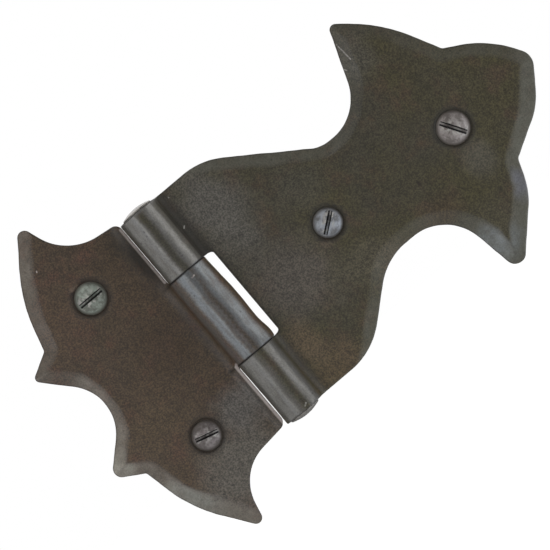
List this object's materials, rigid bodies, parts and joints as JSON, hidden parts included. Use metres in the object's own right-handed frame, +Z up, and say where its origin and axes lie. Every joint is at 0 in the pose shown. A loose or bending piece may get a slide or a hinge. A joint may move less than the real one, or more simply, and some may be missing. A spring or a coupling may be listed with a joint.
{
  "type": "decorative surface hinge",
  "caption": "Forged decorative surface hinge with a winged short leaf, a waisted long leaf with a three-pointed tail, a riveted pin and slotted screws.",
  "frame": {"origin": "midway between the short leaf's two screws, on the leaf's back, which lies on the mounting surface", "axes": "+Z up along the hinge pin, -Y out of the mounting surface towards the viewer, +X from the short leaf towards the long leaf. The pin's axis stands at X 20.5 mm, Y -5.27 mm, and the middle of the barrel at Z -0.9 mm."},
  "size_m": [0.1322, 0.0272, 0.0848],
  "materials": {
    "short_leaf_steel": "beeswaxed, forged, semi-matt, reddish brown black",
    "long_leaf_steel": "beeswaxed, forged, semi-matt, olive brown black",
    "pin_steel": "waxed, hammered, satin",
    "screw_steel": "waxed, worn bright at the slots"
  },
  "bodies": {
    "fixed_leaf": {"short_leaf": "short_leaf_steel", "short_leaf_screws": "screw_steel"},
    "swinging_leaf": {"long_leaf": "long_leaf_steel", "hinge_pin": "pin_steel", "long_leaf_screws": "screw_steel"}
  },
  "joints": [
    {"name": "leaf_swing", "type": "hinge", "parent": "fixed_leaf", "child": "swinging_leaf", "pos_m": [0.0205, -0.00527, -0.0009], "axis": [0, 0, -1], "range_deg": [-90, 180]}
  ]
}
